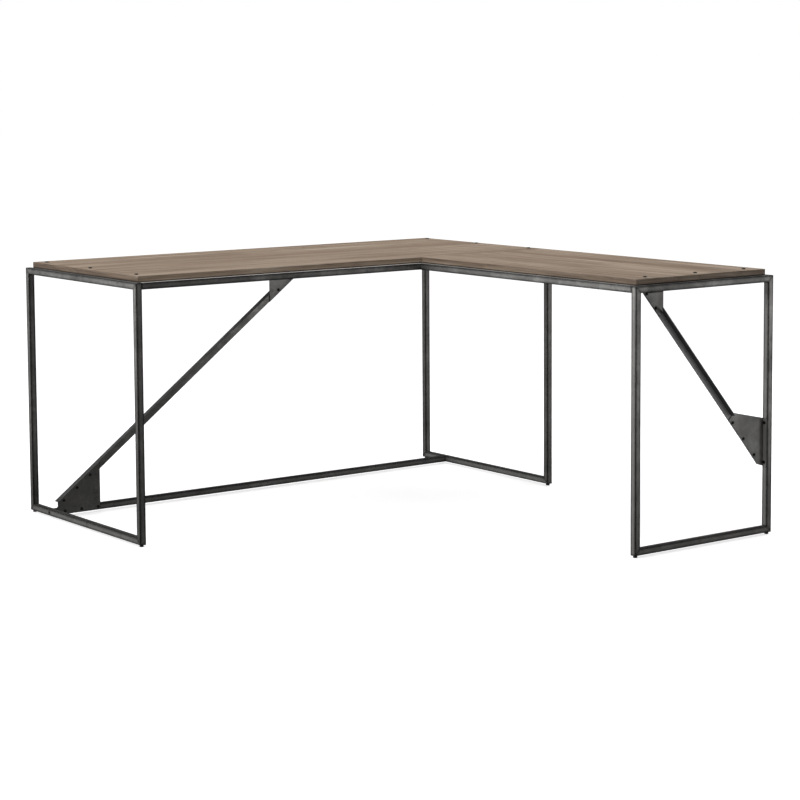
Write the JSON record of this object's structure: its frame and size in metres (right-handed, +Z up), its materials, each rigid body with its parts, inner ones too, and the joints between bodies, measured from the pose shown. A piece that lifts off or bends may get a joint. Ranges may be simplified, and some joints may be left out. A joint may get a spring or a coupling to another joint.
{
  "type": "corner desk",
  "caption": "L-shaped corner desk: a main top and a narrower return on welded square-tube steel end frames, with angle braces on bolted gusset plates and screw-in levelling feet.",
  "frame": {"origin": "floor level under the centre of the object's bounding box", "axes": "+X along the main desk from its free left end to the corner, +Y from the free end of the return to the main desk's back, +Z up"},
  "size_m": [1.518, 1.621, 0.7653],
  "materials": {
    "frame_steel": "dark weathered gunmetal with mottled lighter patches and brushed welds",
    "bolt_black": "black oxide, satin",
    "top_laminate": "matte warm grey-brown wood-look laminate",
    "foot_black": "matte black"
  },
  "bodies": {
    "desk": {"brace_lower_bolt_1": "bolt_black", "brace_lower_bolt_2": "bolt_black", "brace_lower_bolt_3": "bolt_black", "brace_lower_bolt_4": "bolt_black", "brace_lower_bolt_5": "bolt_black", "brace_lower_bolt_6": "bolt_black", "brace_lower_gusset": "frame_steel", "brace_upper_bolt_1": "bolt_black", "brace_upper_bolt_2": "bolt_black", "brace_upper_bolt_3": "bolt_black", "brace_upper_bolt_4": "bolt_black", "brace_upper_bolt_5": "bolt_black", "brace_upper_bolt_6": "bolt_black", "brace_upper_gusset": "frame_steel", "end_brace": "frame_steel", "end_leg_bolt_1": "bolt_black", "end_leg_bolt_2": "bolt_black", "end_leg_bolt_3": "bolt_black", "end_leg_gusset": "frame_steel", "end_leg_tab_bolt_1": "bolt_black", "end_leg_tab_bolt_2": "bolt_black", "end_top_bolt_1": "bolt_black", "end_top_bolt_2": "bolt_black", "end_top_gusset": "frame_steel", "front_rail": "frame_steel", "left_back_leg": "frame_steel", "left_bottom_tube": "frame_steel", "left_front_leg": "frame_steel", "left_top_tube": "frame_steel", "long_brace": "frame_steel", "main_top": "top_laminate", "rear_rail": "frame_steel", "return_bottom_tube": "frame_steel", "return_inner_leg": "frame_steel", "return_inner_rail": "frame_steel", "return_outer_leg": "frame_steel", "return_outer_rail": "frame_steel", "return_top": "top_laminate", "return_top_tube": "frame_steel", "right_back_leg": "frame_steel", "right_bottom_tube": "frame_steel", "right_front_leg": "frame_steel", "right_top_tube": "frame_steel", "stretcher": "frame_steel", "stretcher_bolt": "bolt_black", "top_bolt_end_1": "bolt_black", "top_bolt_end_2": "bolt_black", "top_bolt_end_3": "bolt_black", "top_bolt_left_1": "bolt_black", "top_bolt_left_2": "bolt_black", "top_bolt_left_3": "bolt_black", "top_bolt_right_1": "bolt_black", "top_bolt_right_2": "bolt_black", "top_bolt_right_3": "bolt_black"},
    "foot_left_back": {"foot_left_back": "foot_black"},
    "foot_left_front": {"foot_left_front": "foot_black"},
    "foot_return_inner": {"foot_return_inner": "foot_black"},
    "foot_return_outer": {"foot_return_outer": "foot_black"},
    "foot_right_back": {"foot_right_back": "foot_black"},
    "foot_right_front": {"foot_right_front": "foot_black"}
  },
  "joints": [
    {"name": "foot_left_back_screw", "type": "slide", "parent": "desk", "child": "foot_left_back", "axis": [0, 0, -1], "range_m": [0, 0.01]},
    {"name": "foot_left_front_screw", "type": "slide", "parent": "desk", "child": "foot_left_front", "axis": [0, 0, -1], "range_m": [0, 0.01]},
    {"name": "foot_return_inner_screw", "type": "slide", "parent": "desk", "child": "foot_return_inner", "axis": [0, 0, -1], "range_m": [0, 0.01]},
    {"name": "foot_return_outer_screw", "type": "slide", "parent": "desk", "child": "foot_return_outer", "axis": [0, 0, -1], "range_m": [0, 0.01]},
    {"name": "foot_right_back_screw", "type": "slide", "parent": "desk", "child": "foot_right_back", "axis": [0, 0, -1], "range_m": [0, 0.01]},
    {"name": "foot_right_front_screw", "type": "slide", "parent": "desk", "child": "foot_right_front", "axis": [0, 0, -1], "range_m": [0, 0.01]}
  ]
}
